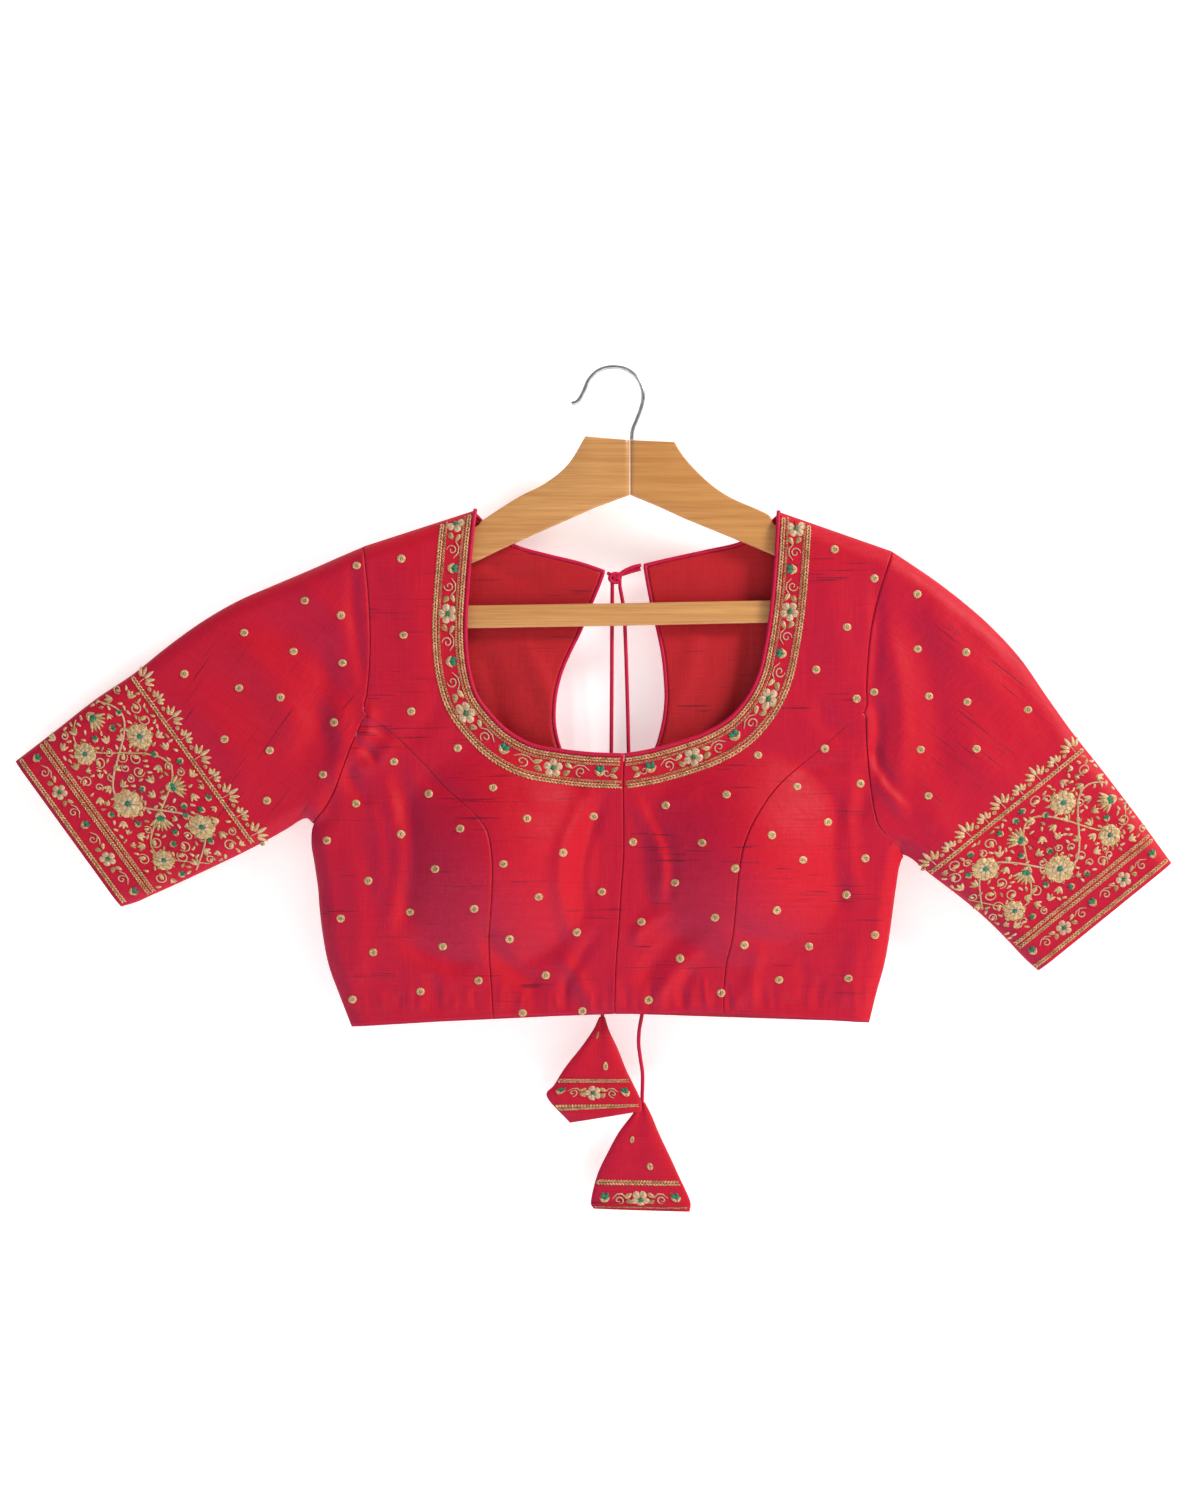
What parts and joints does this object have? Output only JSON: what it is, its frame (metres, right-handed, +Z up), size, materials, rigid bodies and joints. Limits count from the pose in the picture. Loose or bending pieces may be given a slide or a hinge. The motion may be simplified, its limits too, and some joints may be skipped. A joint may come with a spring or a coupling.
{
  "type": "choli blouse on a hanger",
  "caption": "Short silk choli blouse with embroidered neck and sleeve borders, tied keyhole back and hanging tassels, held on a wooden hanger.",
  "frame": {"origin": "inside of the hanger hook's crown, where a rail carries it", "axes": "+Z up, -Y is the front of the garment, +X to the viewer's right (the wearer's left)"},
  "size_m": [0.8693, 0.0462, 0.6384],
  "materials": {
    "silk": "raw silk with slubs and a satin sheen, gold thread embroidery",
    "silk_plain": "plain raw silk",
    "wood": "clear lacquer",
    "steel": "polished wire"
  },
  "bodies": {
    "root": {"front_centre_right": "silk", "front_centre_left": "silk", "front_side_right": "silk", "front_side_left": "silk", "back": "silk", "sleeve_right": "silk", "sleeve_left": "silk", "piping_front_right": "silk_plain", "piping_front_left": "silk_plain", "piping_back_right": "silk_plain", "piping_back_left": "silk_plain", "placket_underlay": "silk_plain", "tie_cord_right": "silk_plain", "tie_cord_left": "silk_plain", "tie_knot": "silk_plain", "latkan_right": "silk", "latkan_left": "silk", "hanger_arm_right": "wood", "hanger_arm_left": "wood", "hanger_bar": "wood", "hanger_hook": "steel"}
  },
  "joints": []
}
